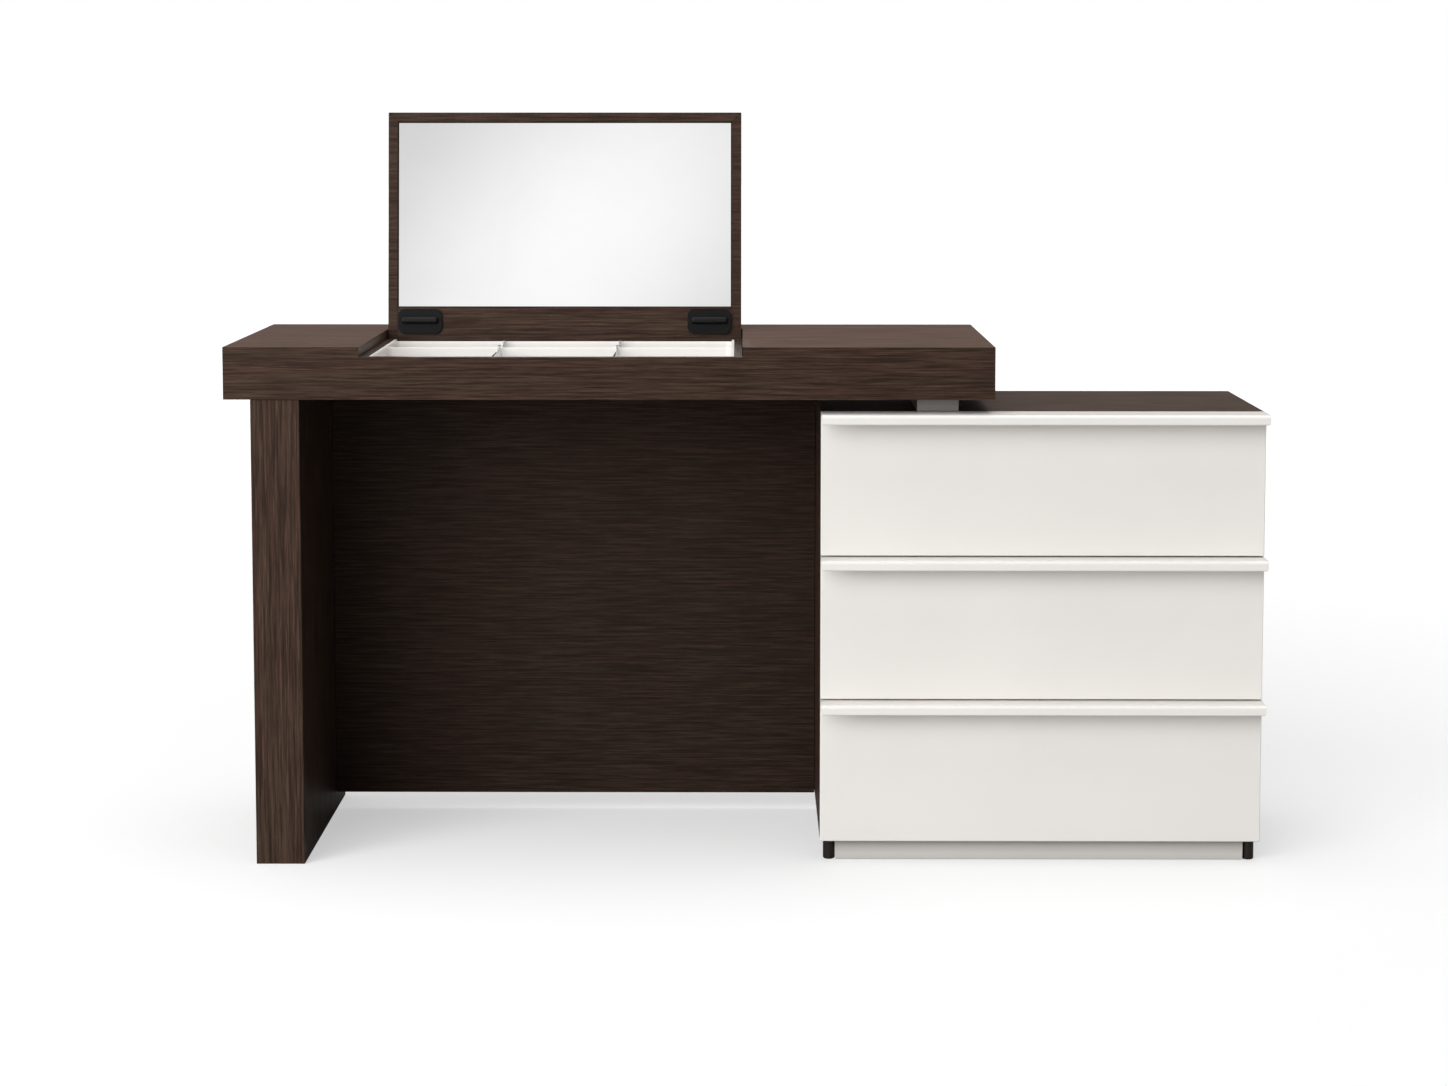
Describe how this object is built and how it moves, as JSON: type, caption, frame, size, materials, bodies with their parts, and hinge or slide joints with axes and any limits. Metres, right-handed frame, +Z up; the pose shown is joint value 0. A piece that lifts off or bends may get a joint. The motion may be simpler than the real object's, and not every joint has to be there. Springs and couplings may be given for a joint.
{
  "type": "dressing table",
  "caption": "Dressing table with a mirror flap over an organiser tray, a slab leg, a back panel and an overlapped cabinet of drawers with lip handles.",
  "frame": {"origin": "on the floor, midway along the overall length and the overall depth", "axes": "+X towards the drawer cabinet, +Y towards the back, +Z up"},
  "size_m": [1.49, 0.466, 1.0829],
  "materials": {
    "veneer": "dark brown straight-grained veneer, satin",
    "lacquer": "off-white satin lacquer on board",
    "painted_handle": "bent aluminium, painted off-white",
    "drawer_board": "pale melamine-faced board",
    "tray_plastic": "cream moulded plastic",
    "clear_acrylic": "clear acrylic with polished edges",
    "mirror_glass": "silvered glass",
    "black_plastic": "fine-textured black plastic",
    "hinge_steel": "zinc-plated steel",
    "slide_steel": "powder-coated steel",
    "satin_aluminium": "satin brushed, grey"
  },
  "bodies": {
    "table": {"worktop_top_board": "veneer", "worktop_front_fascia": "veneer", "worktop_left_end": "veneer", "worktop_right_end": "veneer", "worktop_back_rail": "veneer", "worktop_bottom_board": "veneer", "compartment_left_wall": "veneer", "compartment_right_wall": "veneer", "compartment_back_wall": "veneer", "organizer_tray": "tray_plastic", "clear_divider_left": "clear_acrylic", "clear_divider_right": "clear_acrylic", "side_leg": "veneer", "modesty_panel": "veneer", "spacer_bar": "satin_aluminium", "cabinet_left_side": "veneer", "cabinet_right_side": "veneer", "cabinet_top": "veneer", "cabinet_bottom": "veneer", "cabinet_back": "veneer", "plinth": "lacquer", "foot_front_left": "black_plastic", "foot_front_right": "black_plastic", "foot_back_left": "black_plastic", "foot_back_right": "black_plastic", "slide_rail_bottom_left": "slide_steel", "slide_rail_bottom_right": "slide_steel", "slide_rail_middle_left": "slide_steel", "slide_rail_middle_right": "slide_steel", "slide_rail_top_left": "slide_steel", "slide_rail_top_right": "slide_steel", "hinge_arm_left": "hinge_steel", "hinge_arm_right": "hinge_steel"},
    "flap": {"flap_panel": "veneer", "flap_left_stile": "veneer", "flap_right_stile": "veneer", "flap_top_rail": "veneer", "flap_bottom_rail": "veneer", "flap_mirror": "mirror_glass", "hinge_leaf_left": "black_plastic", "hinge_leaf_right": "black_plastic"},
    "drawer_bottom": {"drawer_bottom_front": "lacquer", "drawer_bottom_handle": "painted_handle", "drawer_bottom_box": "drawer_board", "drawer_bottom_base": "drawer_board", "slide_runner_bottom_left": "slide_steel", "slide_runner_bottom_right": "slide_steel"},
    "drawer_middle": {"drawer_middle_front": "lacquer", "drawer_middle_handle": "painted_handle", "drawer_middle_box": "drawer_board", "drawer_middle_base": "drawer_board", "slide_runner_middle_left": "slide_steel", "slide_runner_middle_right": "slide_steel"},
    "drawer_top": {"drawer_top_front": "lacquer", "drawer_top_handle": "painted_handle", "drawer_top_box": "drawer_board", "drawer_top_base": "drawer_board", "slide_runner_top_left": "slide_steel", "slide_runner_top_right": "slide_steel"}
  },
  "joints": [
    {"name": "flap_hinge", "type": "hinge", "parent": "table", "child": "flap", "pos_m": [-0.278, 0.12346, 0.7438], "axis": [1, 0, 0], "range_deg": [0, 95.6]},
    {"name": "drawer_bottom_slide", "type": "slide", "parent": "table", "child": "drawer_bottom", "axis": [0, -1, 0], "range_m": [0, 0.2]},
    {"name": "drawer_middle_slide", "type": "slide", "parent": "table", "child": "drawer_middle", "axis": [0, -1, 0], "range_m": [0, 0.2]},
    {"name": "drawer_top_slide", "type": "slide", "parent": "table", "child": "drawer_top", "axis": [0, -1, 0], "range_m": [0, 0.2]}
  ]
}
